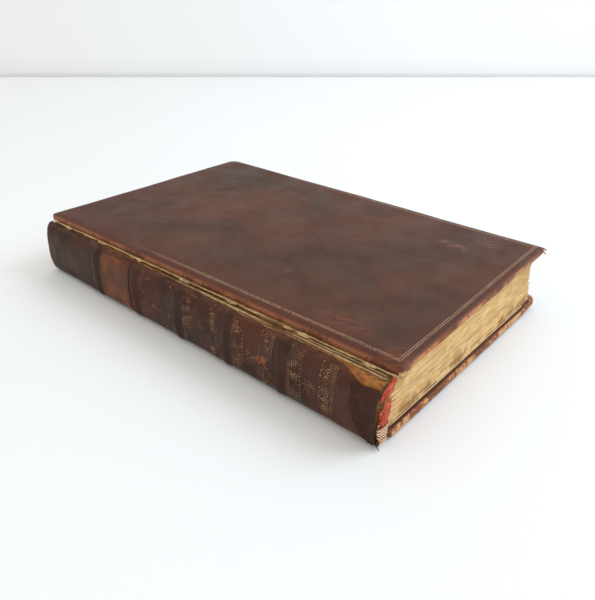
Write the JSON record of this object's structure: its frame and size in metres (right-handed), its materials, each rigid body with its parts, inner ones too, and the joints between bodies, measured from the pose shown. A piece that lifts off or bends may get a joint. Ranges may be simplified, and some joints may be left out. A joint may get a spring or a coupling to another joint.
{
  "type": "leather-bound prayer book",
  "caption": "Closed hand-bound prayer book in mottled brown calf with a rounded spine on raised bands, a plain label, silk end bands, hinged covers and leaves that open.",
  "frame": {"origin": "centre of the back cover's outer face, which the book lies on", "axes": "+X from the spine to the fore-edge, +Y from tail to head, +Z from the back cover up to the front cover"},
  "size_m": [0.1382, 0.2025, 0.0298],
  "materials": {
    "cover_calf": "satin",
    "spine_calf": "satin",
    "label_leather": "satin",
    "pasteboard": "matte",
    "endpaper": "matte",
    "leaves": "matte",
    "spine_lining": "matte",
    "hemp_cord": "matte",
    "red_silk": "satin"
  },
  "bodies": {
    "back_cover": {"back_board": "pasteboard", "back_cover_leather": "cover_calf", "back_pastedown": "endpaper", "back_cord_slip_1": "hemp_cord", "back_cord_slip_2": "hemp_cord", "back_cord_slip_3": "hemp_cord", "back_cord_slip_4": "hemp_cord", "back_cord_slip_5": "hemp_cord"},
    "rear_endpaper": {"back_free_endpaper": "endpaper"},
    "text_lower": {"section_10": "leaves", "section_11": "leaves", "section_12": "leaves", "section_13": "leaves", "section_14": "leaves", "section_15": "leaves", "section_16": "leaves", "section_17": "leaves", "section_18": "leaves", "spine_leather": "spine_calf", "spine_label": "label_leather", "spine_lining_1": "spine_lining", "spine_lining_2": "spine_lining", "spine_lining_3": "spine_lining", "spine_lining_4": "spine_lining", "spine_lining_5": "spine_lining", "spine_lining_6": "spine_lining", "sewing_cord_1": "hemp_cord", "sewing_cord_2": "hemp_cord", "sewing_cord_3": "hemp_cord", "sewing_cord_4": "hemp_cord", "sewing_cord_5": "hemp_cord", "headband_core": "hemp_cord", "headband_silk": "red_silk", "tailband_core": "hemp_cord", "tailband_silk": "red_silk"},
    "lower_centre_leaf": {"centre_leaf_2": "leaves"},
    "upper_centre_leaf": {"centre_leaf_1": "leaves"},
    "text_upper": {"section_01": "leaves", "section_02": "leaves", "section_03": "leaves", "section_04": "leaves", "section_05": "leaves", "section_06": "leaves", "section_07": "leaves", "section_08": "leaves", "section_09": "leaves"},
    "front_flyleaf_sheet": {"front_flyleaf": "leaves"},
    "front_endpaper": {"front_free_endpaper": "endpaper"},
    "front_cover": {"front_board": "pasteboard", "front_cover_leather": "cover_calf", "front_pastedown": "endpaper", "front_cord_slip_1": "hemp_cord", "front_cord_slip_2": "hemp_cord", "front_cord_slip_3": "hemp_cord", "front_cord_slip_4": "hemp_cord", "front_cord_slip_5": "hemp_cord"}
  },
  "joints": [
    {"name": "back_cover_joint", "type": "hinge", "parent": "back_cover", "child": "text_lower", "pos_m": [-0.06375, 0, 0], "axis": [0, -1, 0], "range_deg": [0, 95]},
    {"name": "rear_endpaper_turn", "type": "hinge", "parent": "back_cover", "child": "rear_endpaper", "pos_m": [-0.06305, 0, 0.0041], "axis": [0, -1, 0], "range_deg": [0, 45]},
    {"name": "text_opening", "type": "hinge", "parent": "text_lower", "child": "text_upper", "pos_m": [-0.07245, 0, 0.01478], "axis": [0, -1, 0], "range_deg": [0, 90], "deforming": ["spine_leather", "spine_label", "spine_lining_1", "spine_lining_2", "spine_lining_3", "spine_lining_4", "spine_lining_5", "spine_lining_6", "sewing_cord_1", "sewing_cord_2", "sewing_cord_3", "sewing_cord_4", "sewing_cord_5", "headband_core", "headband_silk", "tailband_core", "tailband_silk"]},
    {"name": "lower_centre_leaf_turn", "type": "hinge", "parent": "text_lower", "child": "lower_centre_leaf", "pos_m": [-0.07245, 0, 0.01478], "axis": [0, -1, 0], "range_deg": [0, 30]},
    {"name": "upper_centre_leaf_turn", "type": "hinge", "parent": "text_lower", "child": "upper_centre_leaf", "pos_m": [-0.07245, 0, 0.01478], "axis": [0, -1, 0], "range_deg": [0, 60]},
    {"name": "front_cover_joint", "type": "hinge", "parent": "text_upper", "child": "front_cover", "pos_m": [-0.0666, 0, 0.02982], "axis": [0, -1, 0], "range_deg": [0, 170]},
    {"name": "front_endpaper_turn", "type": "hinge", "parent": "text_upper", "child": "front_endpaper", "pos_m": [-0.06305, 0, 0.02557], "axis": [0, -1, 0], "range_deg": [0, 80]},
    {"name": "front_flyleaf_turn", "type": "hinge", "parent": "text_upper", "child": "front_flyleaf_sheet", "pos_m": [-0.06305, 0, 0.02532], "axis": [0, -1, 0], "range_deg": [0, 35]}
  ],
  "couplings": [
    {"joint": "rear_endpaper_turn", "follows": "back_cover_joint", "ratio": 0.45},
    {"joint": "lower_centre_leaf_turn", "follows": "text_opening", "ratio": 0.33},
    {"joint": "upper_centre_leaf_turn", "follows": "text_opening", "ratio": 0.66},
    {"joint": "front_endpaper_turn", "follows": "front_cover_joint", "ratio": 0.45},
    {"joint": "front_flyleaf_turn", "follows": "front_cover_joint", "ratio": 0.2}
  ]
}
